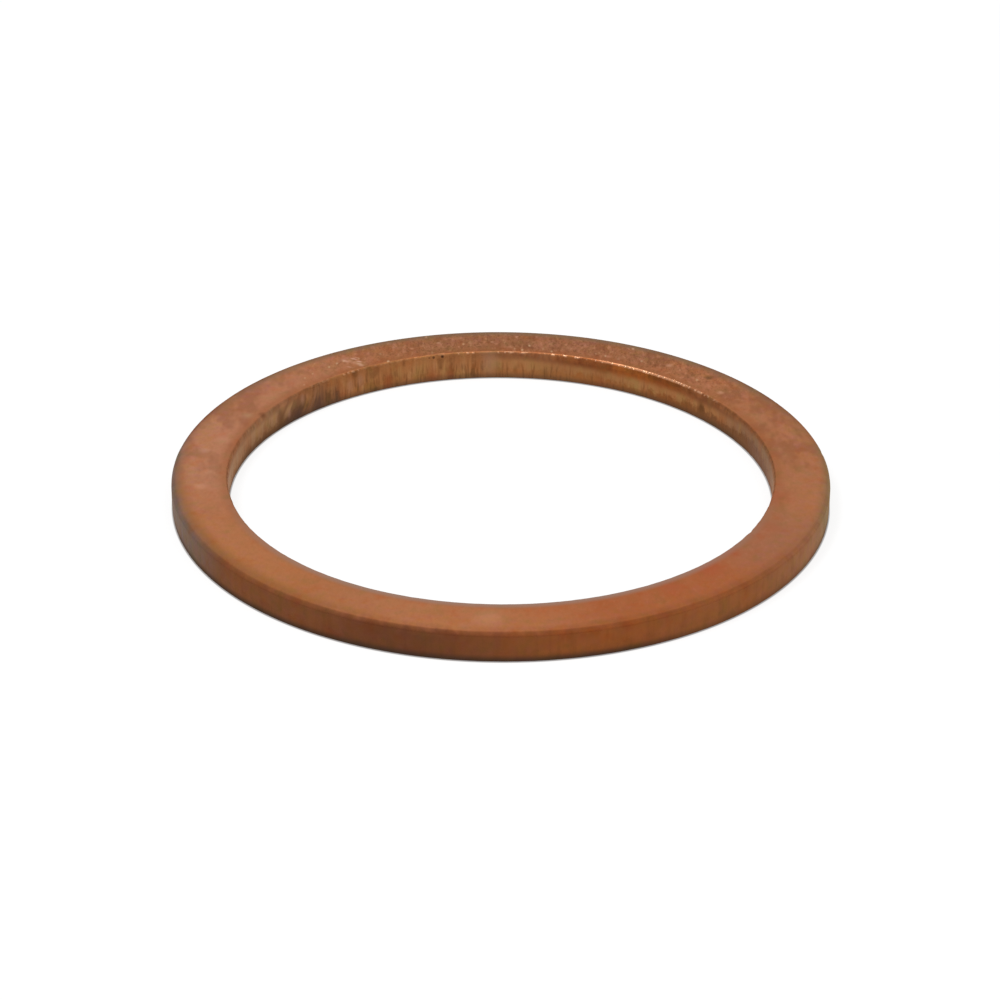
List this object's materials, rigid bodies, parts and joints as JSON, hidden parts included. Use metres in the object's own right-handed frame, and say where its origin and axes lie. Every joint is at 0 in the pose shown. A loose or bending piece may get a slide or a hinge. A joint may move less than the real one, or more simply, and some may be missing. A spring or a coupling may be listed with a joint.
{
  "type": "drain plug sealing ring",
  "caption": "Flat stamped copper ring that seals a drain plug: rounded die rolls on its upper edges, sheared walls and a round bore that slips over the plug's thread.",
  "frame": {"origin": "centre of the lower sealing face, on the axis of the bore", "axes": "+Z along the bore axis, from the lower sealing face towards the face with the rounded edges; +X and +Y are any two directions across the round ring"},
  "size_m": [0.0318, 0.0318, 0.0015],
  "materials": {
    "copper": "satin"
  },
  "bodies": {
    "root": {"sealing_ring": "copper"}
  },
  "joints": []
}
